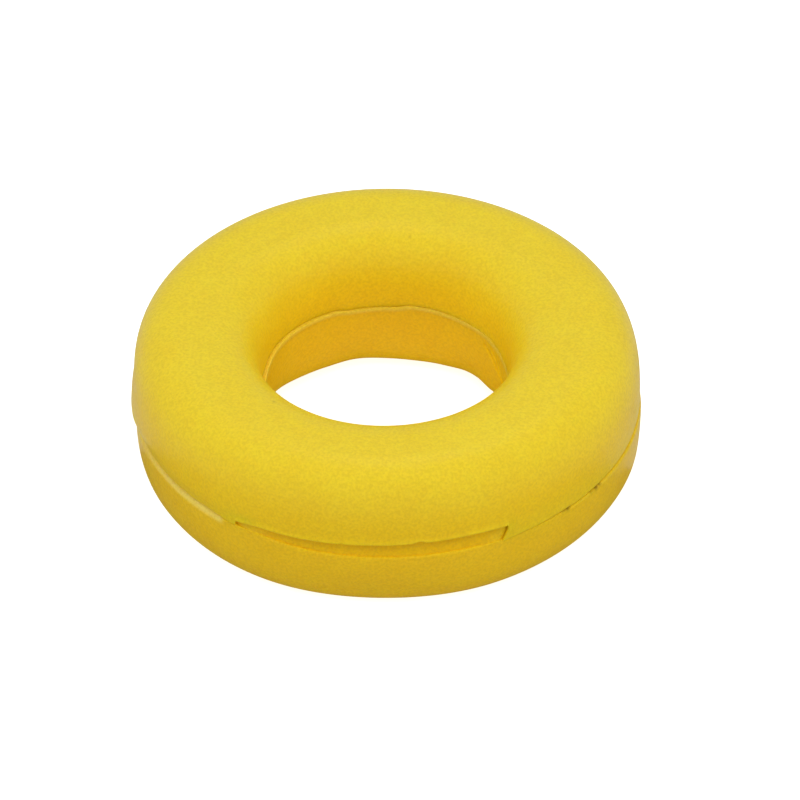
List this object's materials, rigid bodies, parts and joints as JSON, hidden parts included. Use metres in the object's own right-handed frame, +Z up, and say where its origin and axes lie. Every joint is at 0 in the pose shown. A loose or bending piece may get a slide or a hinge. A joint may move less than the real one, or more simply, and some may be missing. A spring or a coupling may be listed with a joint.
{
  "type": "juggling ring",
  "caption": "Thick round doughnut ring for catching and tossing, moulded as two lapped hollow shells, with a hole for the fingers and a narrow slot in its side.",
  "frame": {"origin": "centre of the flat land that the ring stands on", "axes": "+Z up along the ring's axis, -Y towards the middle of the slot, +X to the right as seen from there"},
  "size_m": [0.072, 0.072, 0.0236],
  "materials": {
    "upper_plastic": "satin",
    "lower_plastic": "satin"
  },
  "bodies": {
    "root": {"upper_shell": "upper_plastic", "lower_shell": "lower_plastic"}
  },
  "joints": []
}
